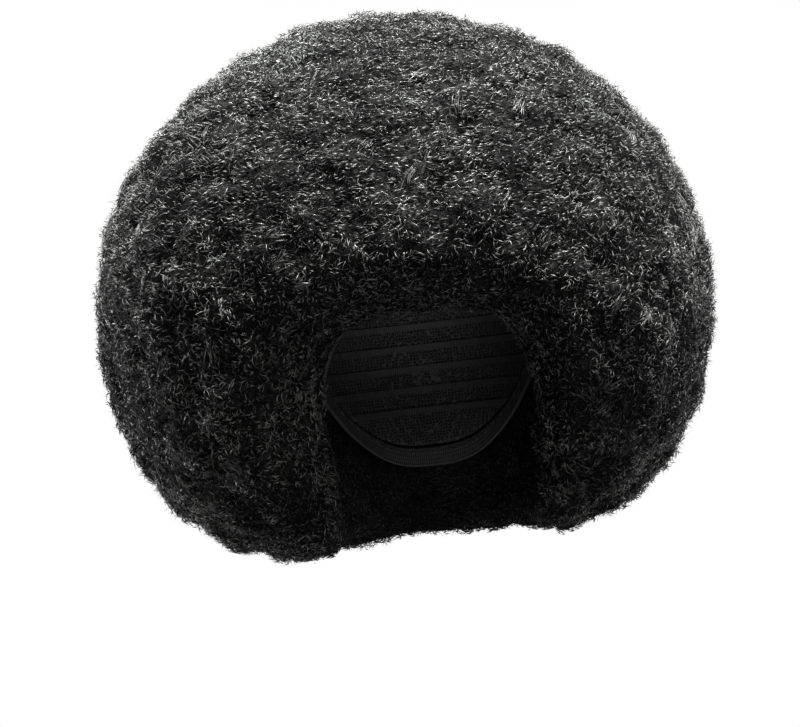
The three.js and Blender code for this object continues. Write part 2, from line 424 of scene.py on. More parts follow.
# The sockets of a Mix node that mixes colours.
MIX_FACTOR, MIX_FIRST, MIX_SECOND, MIX_RESULT = 0, 6, 7, 2


class Graph:
    """Adds nodes to a node tree and joins them."""

    def __init__(self, tree):
        self.tree = tree

    def feed(self, node, inputs):
        """Gives a node its inputs: a link from each socket, and each other value as it is."""
        for key, value in inputs.items():
            if isinstance(value, bpy.types.NodeSocket):
                self.tree.links.new(value, node.inputs[key])
            else:
                node.inputs[key].default_value = value

    def add(self, kind, inputs=None, **values):
        """A new node with its own values set, and then its inputs."""
        node = self.tree.nodes.new(kind)
        for key, value in values.items():
            setattr(node, key, value)
        self.feed(node, inputs or {})
        return node

    def maths(self, operation, *values):
        """One step of arithmetic with numbers."""
        return self.add("ShaderNodeMath", dict(enumerate(values)), operation=operation).outputs[0]

    def vectors(self, operation, *values):
        """One step of arithmetic with vectors."""
        return self.add("ShaderNodeVectorMath", dict(enumerate(values)), operation=operation).outputs[0]

    def scaled(self, value, low, high, to_low=0.0, to_high=1.0):
        """A value taken from one range to another."""
        inputs = {"Value": value, "From Min": low, "From Max": high, "To Min": to_low, "To Max": to_high}
        return self.add("ShaderNodeMapRange", inputs).outputs[0]

    def object_place(self):
        """The place on the piece."""
        return self.add("ShaderNodeTexCoord").outputs["Object"]

    def attribute(self, name):
        """A number that the mesh keeps for each vertex."""
        return self.add("ShaderNodeAttribute", attribute_name=name).outputs["Fac"]

    def noise(self, place_at, size, detail=2.0):
        """Soft noise with features of one size in metres."""
        inputs = {"Vector": place_at, "Scale": 1 / size, "Detail": detail}
        return self.add("ShaderNodeTexNoise", inputs).outputs["Fac"]

    def varied(self, place_at, size, low, high, detail=2.0):
        """A number that wanders between two others, in patches of one size in metres."""
        return self.scaled(self.noise(place_at, size, detail), *NOISE_RANGE, low, high)

    def mixed(self, factor, first, second):
        """A colour between two others."""
        inputs = {MIX_FACTOR: factor, MIX_FIRST: first, MIX_SECOND: second}
        return self.add("ShaderNodeMix", inputs, data_type="RGBA").outputs[MIX_RESULT]

    def bump(self, height, strength, distance):
        """The normal of a surface with fine relief."""
        inputs = {"Height": height, "Strength": strength, "Distance": distance}
        return self.add("ShaderNodeBump", inputs).outputs[0]

    def group(self, name, build, inputs):
        """The outputs of a node group, which is built the first time that it is asked for."""
        tree = bpy.data.node_groups.get(name) or build(name)
        return self.add("ShaderNodeGroup", inputs, node_tree=tree).outputs


def node_group(name, inputs, outputs):
    """A new node group: its graph, its input sockets and its output node."""
    tree = bpy.data.node_groups.new(name, "ShaderNodeTree")
    for direction, sockets in (("INPUT", inputs), ("OUTPUT", outputs)):
        for label, kind in sockets.items():
            tree.interface.new_socket(name=label, in_out=direction, socket_type=kind)
    graph = Graph(tree)
    return graph, graph.add("NodeGroupInput").outputs, graph.add("NodeGroupOutput")


def frizz_shade(name):
    """The colour and roughness of frizz: dark and light patches on top of the tone of each strand."""
    graph, given, result = node_group(
        name,
        {"Tone": "NodeSocketFloat", "Deep": "NodeSocketColor", "Outer": "NodeSocketColor"},
        {"Color": "NodeSocketColor", "Roughness": "NodeSocketFloat"},
    )
    where = graph.object_place()
    patches = graph.varied(where, size=48 * MM, low=0.35, high=1.45, detail=3.0)
    grain = graph.varied(where, size=3 * MM, low=0.75, high=1.25)
    tone = graph.maths("MULTIPLY", given["Tone"], graph.maths("MULTIPLY", patches, grain))
    tone = graph.add("ShaderNodeClamp", {"Value": tone}).outputs[0]
    dullness = graph.scaled(tone, low=0.0, high=0.12, to_low=0.85, to_high=0.24)
    unevenness = graph.varied(where, size=9 * MM, low=0.0, high=0.12)
    shade = graph.mixed(tone, given["Deep"], given["Outer"])
    graph.feed(result, {"Color": shade, "Roughness": graph.maths("ADD", dullness, unevenness)})
    return graph.tree


def fibre_streaks(name):
    """Short strokes, each small patch of them running its own way."""
    graph, given, result = node_group(
        name,
        {"Patch": "NodeSocketFloat", "Stroke": "NodeSocketFloat"},
        {"Height": "NodeSocketFloat"},
    )
    stray_size, stray_reach, stroke_stretch = 9 * MM, 6 * MM, 0.14
    where = graph.object_place()
    warp = graph.add("ShaderNodeTexNoise", {"Vector": where, "Scale": 1 / stray_size, "Detail": 2.0})
    stray = graph.vectors("SUBTRACT", warp.outputs["Color"], (0.5, 0.5, 0.5))
    bent = graph.vectors("MULTIPLY_ADD", stray, (stray_reach,) * 3, where)
    cells = graph.add("ShaderNodeTexVoronoi", {"Vector": bent, "Scale": given["Patch"]})
    angles = graph.vectors("MULTIPLY", cells.outputs["Color"], (TURN,) * 3)
    spun = graph.add(
        "ShaderNodeVectorRotate", {"Vector": bent, "Rotation": angles}, rotation_type="EULER_XYZ"
    )
    drawn = graph.vectors("MULTIPLY", spun.outputs[0], (1.0, 1.0, stroke_stretch))
    strokes = graph.add("ShaderNodeTexNoise", {"Vector": drawn, "Scale": given["Stroke"], "Detail": 2.0})
    graph.feed(result, {"Height": strokes.outputs["Fac"]})
    return graph.tree


def new_material(name, colour_shown):
    """A material with a Principled shader: the material, its graph and its shader."""
    material = bpy.data.materials.new(name)
    material.use_nodes = True
    material.diffuse_color = (*colour_shown, 1)
    return material, Graph(material.node_tree), material.node_tree.nodes["Principled BSDF"]


def toned(base, times):
    """A colour made darker or lighter, with its alpha."""
    return (*(times * c for c in base), 1)


def shaded(graph, hair, tone):
    """The colour and roughness of frizz by its tone, as inputs of a shader."""
    inputs = {"Tone": tone, "Deep": (*hair.deep, 1), "Outer": (*hair.outer, 1)}
    shade = graph.group("Frizz Shade", frizz_shade, inputs)
    return {"Base Color": shade["Color"], "Roughness": shade["Roughness"]}


def streaked(graph, patch_size, stroke_size):
    """The height of fibre streaks with patches and strokes of these sizes."""
    inputs = {"Patch": 1 / patch_size, "Stroke": 1 / stroke_size}
    return graph.group("Fibre Streaks", fibre_streaks, inputs)["Height"]


def strand_material(hair, name, shine):
    """Frizzy synthetic fibre, shaded strand by strand."""
    if found := bpy.data.materials.get(name):
        return found
    material, graph, shader = new_material(name, hair.outer)
    graph.feed(shader, shaded(graph, hair, graph.attribute("tone")))
    graph.feed(shader, {"Specular IOR Level": shine})
    return material


def mass_material(hair):
    """The dense hair under the loose strands: matted fibre, with lighter fibre strokes that are partly
    painted glints, and painted shade in its creases.
    """
    material, graph, shader = new_material("matted_frizz", hair.deep)
    fine = streaked(graph, patch_size=7 * MM, stroke_size=0.8 * MM)
    broad = streaked(graph, patch_size=14 * MM, stroke_size=2 * MM)
    streaks = graph.maths("MULTIPLY", fine, graph.scaled(broad, *NOISE_RANGE, to_low=0.6, to_high=1.3))
    # Fibre strokes painted lighter: partly the fibres' own look, partly painted glints.
    fibre_strokes_and_glints = graph.scaled(streaks, low=0.35, high=0.75, to_low=0.0, to_high=0.1)
    # Painted shade: the mass is darker low in its creases, by its height on the puffs.
    creases = graph.scaled(graph.attribute("rise"), low=0, high=1, to_low=0.3, to_high=1)
    relief = graph.bump(streaks, strength=1.0, distance=1.6 * MM)
    graph.feed(shader, shaded(graph, hair, graph.maths("MULTIPLY", fibre_strokes_and_glints, creases)))
    graph.feed(shader, {"Specular IOR Level": 0.12, "Normal": relief})
    return material


def net_material(cap):
    """Black stretch net: fine threads round small meshes."""
    material, graph, shader = new_material("stretch_net", cap.net)
    where = graph.object_place()
    cells = graph.add(
        "ShaderNodeTexVoronoi",
        {"Vector": where, "Scale": 1 / cap.net_pitch, "Randomness": 0.55},
        feature="DISTANCE_TO_EDGE",
    )
    thread = graph.scaled(cells.outputs["Distance"], low=0.04, high=0.16, to_low=1.0, to_high=0.0)
    worn = graph.varied(where, size=30 * MM, low=0.75, high=1.35, detail=3.0)
    tint = graph.mixed(graph.maths("MULTIPLY", thread, worn), toned(cap.net, 0.35), toned(cap.net, 2.6))
    roughness = graph.scaled(thread, low=0, high=1, to_low=0.95, to_high=0.6)
    relief = graph.bump(thread, strength=0.8, distance=0.4 * MM)
    graph.feed(shader, {"Base Color": tint, "Roughness": roughness, "Normal": relief})
    return material


def woven_material(name, base, pitch):
    """Woven tape: threads that cross it, with a soft shine."""
    material, graph, shader = new_material(name, base)
    wrap = graph.add("ShaderNodeUVMap", uv_map=ROUND_MAP).outputs[0]
    turns = graph.add("ShaderNodeSeparateXYZ", {"Vector": wrap}).outputs[0]
    threads = round(cap_girth / pitch)
    wave = graph.maths("SINE", graph.maths("MULTIPLY", turns, TURN * threads))
    fuzz = graph.noise(graph.object_place(), size=0.9 * MM)
    height = graph.maths("ADD", graph.maths("MULTIPLY", wave, 0.5), fuzz)
    # Painted shade: the tape is darker where its threads lie low and lighter where they stand high, by the
    # height of its relief.
    tint = graph.mixed(graph.scaled(height, low=-0.2, high=1.2), toned(base, 0.55), toned(base, 1.9))
    roughness = graph.scaled(fuzz, *NOISE_RANGE, to_low=0.55, to_high=0.8)
    relief = graph.bump(height, strength=0.6, distance=0.3 * MM)
    graph.feed(shader, {"Base Color": tint, "Roughness": roughness, "Normal": relief})
    return material


def thread_material(cap):
    """Twisted sewing thread."""
    material, graph, shader = new_material("sewing_thread", cap.thread)
    twist = graph.noise(graph.object_place(), size=0.5 * MM, detail=1.0)
    tint = graph.mixed(twist, toned(cap.thread, 0.4), toned(cap.thread, 1.5))
    roughness = graph.scaled(twist, *NOISE_RANGE, to_low=0.5, to_high=0.75)
    graph.feed(shader, {"Base Color": tint, "Roughness": roughness})
    return material


# The hair.


# Places far apart in the noise, one for each direction of a wandering point.
WANDER_SHIFTS = (Vector((9.3, -1.5, -7.9)), Vector((0.0, 0.0, 0.0)), Vector((3.9, 5.4, -9.4)))

# How fine the wandering of the puffs' edges is, and how far it goes, in puffs.
WANDER_FINENESS, WANDER_REACH = 0.8, 0.35

# How round a puff's dome is, how narrow its creases are and how fine its unevenness is.
ROUNDNESS, NARROWNESS, UNEVENNESS = 1.3, 2.6, 2.7

# How much each of these three adds to a puff's height.
DOME_SHARE, CREASE_SHARE, UNEVEN_SHARE = 0.6, 0.4, 0.22


def wander(point):
    """Smooth noise in three directions, each from a place of its own in the noise."""
    return Vector([noise.noise(point + shift) for shift in WANDER_SHIFTS])


def puffs(point, size):
    """How high a point lies on the puffs of frizz, from 0 in a crease to 1 on top."""
    where = point / size
    stray = wander(where * WANDER_FINENESS) * WANDER_REACH
    near, far = noise.voronoi(where + stray)[0][:2]
    dome = 1 - min(near * near * ROUNDNESS, 1)
    crease = min((far - near) * NARROWNESS, 1)
    uneven = noise.noise(where * UNEVENNESS)
    height = DOME_SHARE * dome + CREASE_SHARE * crease + UNEVEN_SHARE * uneven
    return max(0.0, min(1.0, height))


def push_from_cap(bm, gap):
    """Moves the hair's vertices off cap and band, and gives the room that each one has."""
    tree = node_tree(CAP, BAND)
    rooms = []
    for vert in bm.verts:
        near, normal, _, distance = tree.find_nearest(vert.co)
        if distance < gap:
            vert.co = near + normal * gap
        rooms.append(max(distance, gap))
    return rooms


class AFRO_OT_hair_mass(bpy.types.Operator):
    """Build the soft ball of dense hair that the strands grow on"""

    bl_idname = "afro.hair_mass"
    bl_label = "Hair Mass"

    SMOOTHINGS = 5
    LEVEL_RISE = 0.6

    # Puffs begin this far from cap and band, and are at their full height so much further on.
    PUFFS_FROM, PUFFS_OVER = 4 * MM, 12 * MM

    def execute(self, context):
        hair, _, _ = settings(context)
        bm = modified(merged_copy(HAIR), HAIR_PIECE, "REMESH", mode="VOXEL", voxel_size=hair.voxel)
        every_way = {"use_axis_x": True, "use_axis_y": True, "use_axis_z": True}
        for _ in range(self.SMOOTHINGS):
            bmesh.ops.smooth_vert(bm, verts=bm.verts, factor=0.5, **every_way)
        tree = node_tree(CAP, BAND)
        bm.normal_update()
        rises = []
        moves = []
        for vert in bm.verts:
            rise = puffs(vert.co, hair.puff_size)
            room = tree.find_nearest(vert.co)[3]
            free = min(1.0, max(0.0, room - self.PUFFS_FROM) / self.PUFFS_OVER)
            lift = (rise - self.LEVEL_RISE) * hair.puff_height - hair.skin_depth
            rises.append(rise)
            moves.append(vert.normal * (lift * free))
        for vert, move in zip(bm.verts, moves):
            vert.co += move
        rooms = push_from_cap(bm, hair.seat_gap)
        mesh = finished(bm, HAIR_PIECE)
        store(mesh, "rise", rises)
        store(mesh, "room", rooms)
        place(HAIR_PIECE, mesh, mass_material(hair), HAIR_SLOT, HAIR)
        return {"FINISHED"}


def growing_surface(hair):
    """The hair's surface, which has to be there before strands grow on it."""
    if HAIR_PIECE not in bpy.data.objects:
        raise RuntimeError("the hair mass comes before the strands")
    return Growth(bpy.data.objects[HAIR_PIECE], hair.clump_size, hair.clump_height)


def place_strands(name, parts, rng, lines, widths, tones, material):
    """Places strands in several pieces, each a sector of the ball."""
    middle = lines.mean(1)
    around = np.arctan2(middle[:, 0] - ball_middle.x, middle[:, 1] - ball_middle.y)
    for number, chosen in enumerate(np.array_split(np.argsort(around), parts)):
        label = f"{name}_{number + 1}" if parts > 1 else name
        mesh = strand_mesh(label, rng, lines[chosen], widths[chosen], tones[chosen])
        place(label, mesh, material, HAIR_SLOT)


def painted_shading_by_root(normals, rise, hollow):
    """Painted light and shade on strands by their roots: painted light high on the sides of the ball, and
    painted shade in creases, in the hollow, lower down and on top."""
    upwards = normals[:, 2]
    sides = 0.40 * smooth_share(upwards, low=0.1, high=0.55)
    top = 0.5 * smooth_share(upwards, low=0.7, high=1.0)
    return eased(0.45 + 0.75 * rise, hollow, by=0.8) * (0.80 + sides - top)


def tones_with_painted_glint(rng, base, points, low, high):
    """The tone of each point of each strand, random from strand to strand, with a painted glint: a strand is
    lightest at one place along it.
    """
    ends, half_width = 0.12, 1.2
    number = len(base)
    tone = rng.uniform(low, high, number) * base
    glint_peak = rng.uniform(0.9, points - 1.6, (number, 1))
    along = 1 - np.clip(np.abs(np.arange(points) - glint_peak) / half_width, 0, 1)
    return tone[:, None] * (ends + (1 - ends) * along)


# The frizz: its strands' lengths in metres, its angles in degrees, and the rest as shares.
FRIZZ_SEGMENTS = 2
FRIZZ_LENGTHS = (3.8 * MM, 8.6 * MM)
FRIZZ_WIDTHS = (0.7, 1.15)
FRIZZ_BENDS = (5, 42)
FRIZZ_DROOPS = (0.5, 0.9)
LYING_TILTS, STANDING_TILTS = (4, 30), (35, 75)
STANDING_LENGTH = 0.65

# The size in which the frizz changes its way, and how far that way rules each strand.
DRIFT_SIZE, DRIFT_SHARE = 34 * MM, 0.7


def frizz(hair, rng, number, tones, depths, upright):
    """Short bent strands all over the ball: their lines, widths and tones. They root between two
    heights over its surface, and the upright share of them stands up."""
    roots, normals, rise, room = growing_surface(hair).scatter(rng, number)
    hollow = hollow_share(roots)
    combed = level_share(normals) * hair.combing
    level = unit(np.cross((0, 0, 1), normals)) * rng.choice((-1, 1), (number, 1))
    drift = unit(Field(rng, DRIFT_SIZE).at(roots))
    ways = unit(drift * DRIFT_SHARE + unit(rng.normal(size=(number, 3))))
    ways = ways * (1 - combed[:, None]) + level * combed[:, None]
    stands = rng.random(number) < upright
    lengths = eased(rng.uniform(*FRIZZ_LENGTHS, number), hollow, by=0.3)
    lengths = np.where(stands, STANDING_LENGTH * lengths, lengths)
    tilts = np.where(stands, rng.uniform(*STANDING_TILTS, number), rng.uniform(*LYING_TILTS, number))
    tilts = eased(np.radians(tilts), hollow, by=0.7)
    bends = eased(np.radians(rng.uniform(*FRIZZ_BENDS, number)), combed, by=0.45)
    droops = tilts * rng.uniform(*FRIZZ_DROOPS, number)
    roots = roots + normals * rng.uniform(*depths, (number, 1))
    lines = strand_lines(rng, roots, normals, ways, lengths, tilts, bends, droops, FRIZZ_SEGMENTS)
    widths = hair.strand_width * rng.uniform(*FRIZZ_WIDTHS, number)
    shades = tones_with_painted_glint(rng, painted_shading_by_root(normals, rise, hollow), FRIZZ_SEGMENTS + 1, *tones)
    clear = clear_of_cap(lines, room, hair.seat_gap)
    return lines[clear], widths[clear], shades[clear]


class AFRO_OT_under_frizz(bpy.types.Operator):
    """Cover the ball with dull dark strands that lie low"""

    bl_idname = "afro.under_frizz"
    bl_label = "Under Frizz"

    SEED, PIECES = 7, 2
    TONES, DEPTHS, UPRIGHT = (0.0, 0.05), (-1.5 * MM, 0.5 * MM), 0.1

    def execute(self, context):
        hair, _, _ = settings(context)
        rng = np.random.default_rng(self.SEED)
        strands = frizz(hair, rng, hair.under_count, self.TONES, self.DEPTHS, self.UPRIGHT)
        material = strand_material(hair, "dull_fibre", shine=0.1)
        place_strands("under_frizz", self.PIECES, rng, *strands, material)
        return {"FINISHED"}


class AFRO_OT_frizz(bpy.types.Operator):
    """Cover the ball with glossy strands of frizz"""

    bl_idname = "afro.frizz"
    bl_label = "Frizz"

    SEED, PIECES = 11, 3
    TONES, DEPTHS, UPRIGHT = (0.15, 1.15), (-0.5 * MM, 1.8 * MM), 0.22

    def execute(self, context):
        hair, _, _ = settings(context)
        rng = np.random.default_rng(self.SEED)
        strands = frizz(hair, rng, hair.frizz_count, self.TONES, self.DEPTHS, self.UPRIGHT)
        material = strand_material(hair, "frizz_fibre", shine=0.5)
        place_strands("frizz", self.PIECES, rng, *strands, material)
        return {"FINISHED"}


class AFRO_OT_tufts(bpy.types.Operator):
    """Lay tufts of longer strands side by side on the frizz"""

    bl_idname = "afro.tufts"
    bl_label = "Tufts"

    SEED, PIECES, SEGMENTS = 23, 1, 4

    # How far the strands of a tuft lie beside and along it, and how high their roots are.
    BESIDE, ALONG, DEPTHS = 2.1 * MM, 2.5 * MM, (0.4 * MM, 2.2 * MM)

    # The tufts' lengths and angles, and the shares in which their strands differ.
    LENGTHS, TILTS, BENDS = (9 * MM, 17 * MM), (3, 14), (3, 16)
    LENGTH_SHARES, WIDTH_SHARES, STRAY = (0.75, 1.2), (0.6, 0.95), 0.14
    DROOP_SHARE, LEAST_DROOP = 0.8, math.radians(2)
    # Painted sheen on the tufts: the shares by which a tuft is painted lighter all along, their odds, and
    # the tufts' tones.
    GLOSSES, GLOSS_ODDS, TONES = (0.55, 0.9, 1.5), (0.45, 0.37, 0.18), (0.4, 0.9)

    def execute(self, context):
        hair, _, _ = settings(context)
        rng = np.random.default_rng(self.SEED)
        number, each = hair.tuft_count, hair.tuft_strands
        total = number * each

        def shared(values):
            """The tufts' values, repeated for the strands of each."""
            return np.repeat(values, each, axis=0)

        roots, normals, rise, room = map(shared, growing_surface(hair).scatter(rng, number))
        ways = shared(unit(rng.normal(size=(number, 3))))
        across = unit(np.cross(normals, ways))
        beside = rng.normal(size=(total, 1)) * self.BESIDE
        along = rng.normal(size=(total, 1)) * self.ALONG
        roots = roots + across * beside + unit(np.cross(across, normals)) * along
        roots = roots + normals * rng.uniform(*self.DEPTHS, (total, 1))
        ways = ways + rng.normal(size=(total, 3)) * self.STRAY
        hollow = hollow_share(roots)
        lengths = shared(rng.uniform(*self.LENGTHS, number)) * rng.uniform(*self.LENGTH_SHARES, total)
        lengths = eased(lengths, hollow, by=0.45)
        tilts = eased(np.radians(shared(rng.uniform(*self.TILTS, number))), hollow, by=0.7)
        bends = np.radians(shared(rng.uniform(*self.BENDS, number)))
        droops = tilts * self.DROOP_SHARE + self.LEAST_DROOP
        lines = strand_lines(rng, roots, normals, ways, lengths, tilts, bends, droops, self.SEGMENTS)
        widths = hair.strand_width * rng.uniform(*self.WIDTH_SHARES, total)
        # Painted sheen: some tufts are painted lighter all along, as if they caught the light.
        painted_sheen = shared(rng.choice(self.GLOSSES, number, p=self.GLOSS_ODDS))
        base = painted_sheen * painted_shading_by_root(normals, rise, hollow)
        tones = tones_with_painted_glint(rng, base, self.SEGMENTS + 1, *self.TONES)
        clear = clear_of_cap(lines, room, hair.seat_gap)
        material = strand_material(hair, "frizz_fibre", shine=0.5)
        place_strands("tufts", self.PIECES, rng, lines[clear], widths[clear], tones[clear], material)
        return {"FINISHED"}


class AFRO_OT_fuzz(bpy.types.Operator):
    """Stand fine short hairs up all over the ball"""

    bl_idname = "afro.fuzz"
    bl_label = "Fuzz"

    SEED, PIECES, SEGMENTS = 31, 1, 2
    LENGTHS, WIDTH_SHARES, TONES = (4 * MM, 7.5 * MM), (0.8, 1.2), (0.4, 1.0)
    TILTS, BENDS, DROOPS = (40, 85), (5, 50), (0, 35)
    PAINTED_ROOT_SHADE = 0.4

    def execute(self, context):
        hair, _, _ = settings(context)
        rng = np.random.default_rng(self.SEED)
        number = hair.fuzz_count
        roots, normals, rise, room = growing_surface(hair).scatter(rng, number)
        hollow = hollow_share(roots)
        ways = unit(rng.normal(size=(number, 3)))
        lengths = eased(rng.uniform(*self.LENGTHS, number), hollow, by=0.5)
        tilts = eased(np.radians(rng.uniform(*self.TILTS, number)), hollow, by=0.6)
        bends = np.radians(rng.uniform(*self.BENDS, number))
        droops = np.radians(rng.uniform(*self.DROOPS, number))
        lines = strand_lines(rng, roots, normals, ways, lengths, tilts, bends, droops, self.SEGMENTS)
        widths = hair.fuzz_width * rng.uniform(*self.WIDTH_SHARES, number)
        # Painted light: the fuzz is light grey, for a pale haze at the rim, and painted shade darkens each
        # hair towards its root.
        tone = rng.uniform(*self.TONES, number) * painted_shading_by_root(normals, rise, hollow)
        tones = tone[:, None] * np.linspace(self.PAINTED_ROOT_SHADE, 1.0, self.SEGMENTS + 1)
        clear = clear_of_cap(lines, room, hair.seat_gap)
        material = strand_material(hair, "fuzz_fibre", shine=0.3)
        place_strands("fuzz", self.PIECES, rng, lines[clear], widths[clear], tones[clear], material)
        return {"FINISHED"}


# The cap and its band.


# An edge is upright if its two ends are turned less than this, and a riser if it is longer too.
UPRIGHT_WITHIN, SHORTEST_RISER = 0.02, 7 * MM


def rounded(node, name, levels):
    """A CAD node's surface made round, as a bmesh."""
    return modified(merged_copy(node), name, "SUBSURF", levels=levels, render_levels=levels)


def wrap_round(mesh):
    """Gives a mesh a UV map that counts turns round the head, and heights. No face is torn at the
    back, where the turns start again."""
    points = np.array([v.co for v in mesh.vertices])
    corners = np.array([loop.vertex_index for loop in mesh.loops])
    turn = (np.arctan2(points[:, 0], -points[:, 1]) / TURN)[corners]
    sides = [len(face.vertices) for face in mesh.polygons]
    first = np.repeat([turn[face.loop_start] for face in mesh.polygons], sides)
    turn = first + (turn - first + 0.5) % 1 - 0.5
    wrap = np.stack((turn, points[corners, 2]), 1)
    mesh.uv_layers.new(name=ROUND_MAP).uv.foreach_set("vector", wrap.astype(np.float32).ravel())


def is_riser(edge):
    """Whether an edge of the band runs from its foot to its top, and not round the head or through
    the wall."""
    first, second = (vert.co.xy for vert in edge.verts)
    turned_by = abs(first.cross(second)) / (first.length * second.length)
    return turned_by < UPRIGHT_WITHIN and edge.calc_length() > SHORTEST_RISER


class AFRO_OT_cap(bpy.types.Operator):
    """Build the stretch cap, smooth and with its net"""

    bl_idname = "afro.cap"
    bl_label = "Stretch Cap"

    def execute(self, context):
        _, cap, _ = settings(context)
        mesh = finished(rounded(CAP, "stretch_cap", levels=1), "stretch_cap")
        place("stretch_cap", mesh, net_material(cap), CAP_SLOT, CAP)
        return {"FINISHED"}


class AFRO_OT_tapes(bpy.types.Operator):
    """Sew rows of tape to the inside of the cap"""

    bl_idname = "afro.tapes"
    bl_label = "Sewn Rows"

    def execute(self, context):
        _, cap, _ = settings(context)
        rows = np.arange(-cap.row_pitch, cap_low.z + cap.row_pitch, -cap.row_pitch)
        joined = bmesh.new()
        for height in rows:
            bm = rounded(CAP, "row", levels=1)
            for level, way in ((height + cap.tape_height / 2, 1), (height - cap.tape_height / 2, -1)):
                geometry = bm.verts[:] + bm.edges[:] + bm.faces[:]
                bmesh.ops.bisect_plane(
                    bm, geom=geometry, plane_co=(0, 0, level), plane_no=(0, 0, way), clear_outer=True
                )
            outer = [f for f in bm.faces if f.normal.dot(f.calc_center_median() - cap_middle) > 0]
            bmesh.ops.delete(bm, geom=outer, context="FACES")
            bmesh.ops.recalc_face_normals(bm, faces=bm.faces)
            bmesh.ops.solidify(bm, geom=bm.faces[:], thickness=cap.tape_wall)
            joined.from_mesh(finished(bm, "row"))
        mesh = finished(joined, "sewn_rows", smooth=False)
        wrap_round(mesh)
        place("sewn_rows", mesh, woven_material("row_tape", cap.elastic, cap.weave_pitch), CAP_SLOT)
        return {"FINISHED"}


class AFRO_OT_band(bpy.types.Operator):
    """Build the elastic band with ribs along it and soft edges"""

    bl_idname = "afro.band"
    bl_label = "Elastic Band"

    LEVELS = 2

    def execute(self, context):
        _, cap, _ = settings(context)
        bm = merged_copy(BAND)
        bmesh.ops.join_triangles(bm, faces=bm.faces, angle_face_threshold=0.6, angle_shape_threshold=3.1)
        risers = [edge for edge in bm.edges if is_riser(edge)]
        height = bm.verts.layers.float.new("height")
        for edge in risers:
            foot, top = sorted(edge.verts, key=lambda vert: vert.co.z)
            foot[height], top[height] = 0, 2 * cap.band_ribs
        bmesh.ops.subdivide_edges(bm, edges=risers, cuts=2 * cap.band_ribs - 1, use_grid_fill=True)
        bm.normal_update()
        for vert in bm.verts:
            if round(vert[height]) % 2:
                vert.co += vert.normal * cap.rib_height
        bm = modified(bm, BAND_PIECE, "SUBSURF", levels=self.LEVELS, render_levels=self.LEVELS)
        mesh = finished(bm, BAND_PIECE)
        wrap_round(mesh)
        material = woven_material("ribbed_elastic", cap.elastic, cap.weave_pitch)
        place(BAND_PIECE, mesh, material, BAND_SLOT, BAND)
        return {"FINISHED"}


class AFRO_OT_stitches(bpy.types.Operator):
    """Sew a zigzag of stitches along the inside of the band, close to its top"""

    bl_idname = "afro.stitches"
    bl_label = "Edge Stitches"

    SEED = 5

    # The heights over the band's foot between which the thread goes to and fro.
    HEIGHTS = (8.8 * MM, 12.2 * MM)

    # In millimetres: the thread's width, how far it lies off the band, and how far it swells inwards.
    WIDTH, STAND_OFF, SWELL = 0.8, 0.3, 0.2

    # Where a stitch swells, as shares of its length, and how light its thread is.
    NEAR, FAR, TONE = 0.3, 0.7, 0.6

    def execute(self, context):
        _, cap, _ = settings(context)
        bm = merged_copy(BAND)
        feet = []
        for edge in filter(is_riser, bm.edges):
            foot = min(edge.verts, key=lambda vert: vert.co.z).co
            feet.append((math.atan2(foot.x, -foot.y), foot.z))
        turns, heights = np.array(feet).T
        bm.free()
        tree = BVHTree.FromObject(bpy.data.objects[BAND_PIECE], context.evaluated_depsgraph_get())
        number = 2 * round(cap_girth / cap.stitch_pitch / 2)
        points = []
        for step in range(number):
            turn = step * TURN / number
            start = np.interp(turn, turns, heights, period=TURN) + self.HEIGHTS[step % 2]
            outwards = Vector((math.sin(turn), -math.cos(turn), 0))
            hit, normal, _, _ = tree.ray_cast(Vector((0, 0, start)), outwards)
            points.append(hit + normal * self.STAND_OFF * MM)
        points = np.array(points)
        after = np.roll(points, -1, 0)
        inwards = unit(-points) * self.SWELL * MM
        near = points * self.FAR + after * self.NEAR + inwards
        far = points * self.NEAR + after * self.FAR + inwards
        lines = np.stack((points, near, far, after), 1)
        widths = np.full(number, self.WIDTH * MM)
        tones = np.full(lines.shape[:2], self.TONE)
        mesh = strand_mesh("edge_stitches", np.random.default_rng(self.SEED), lines, widths, tones)
        place("edge_stitches", mesh, thread_material(cap), BAND_SLOT)
        return {"FINISHED"}


# The stage.


Light = namedtuple("Light", "name place size watts")

LIGHTS = (
    Light("key_light", (0.35, -0.3, 2.2), 0.8, 220),
    Light("front_light", (0.9, -2.1, 1.2), 0.5, 15),
    Light("under_light", (0.1, -0.9, -1.0), 0.6, 3),
    Light("back_light", (-0.2, 1.7, 1.3), 1.4, 45),
    Light("left_light", (-1.9, 1.3, -0.1), 1.2, 52),
    Light("right_light", (1.8, 1.5, 0.0), 1.2, 38),
)

# The strength of the even light all round.
AMBIENT = 0.035

FLOOR_RADIUS, FLOOR_SIDES, FLOOR_GLOW = 8.0, 96, 0.5

# The middle of the opening, which the camera's aim is measured from.
OPENING = Vector((0, 0, -120 * MM))

# The width of the camera's sensor in millimetres.
SENSOR = 36.0


def add_light(row):
    """A soft square light aimed at the middle of the ball."""
    lamp = bpy.data.lights.new(row.name, "AREA")
    lamp.size = row.size
    lamp.energy = row.watts
    light = bpy.data.objects.new(row.name, lamp)
    light.location = row.place
    light.rotation_euler = (ball_middle - Vector(row.place)).to_track_quat("-Z", "Y").to_euler()
    bpy.context.scene.collection.objects.link(light)


def studio_world():
    """White where the camera looks past the wig, and a dimmer even light on it."""
    world = bpy.data.worlds.new("studio")
    world.use_nodes = True
    graph = Graph(world.node_tree)
    world.node_tree.nodes.clear()
    seen = graph.add("ShaderNodeBackground", {"Color": (1, 1, 1, 1), "Strength": 1.0})
    felt = graph.add("ShaderNodeBackground", {"Color": (1, 1, 1, 1), "Strength": AMBIENT})
    path = graph.add("ShaderNodeLightPath")
    both = graph.add(
        "ShaderNodeMixShader",
        {0: path.outputs["Is Camera Ray"], 1: felt.outputs[0], 2: seen.outputs[0]},
    )
    graph.add("ShaderNodeOutputWorld", {"Surface": both.outputs[0]})
    return world


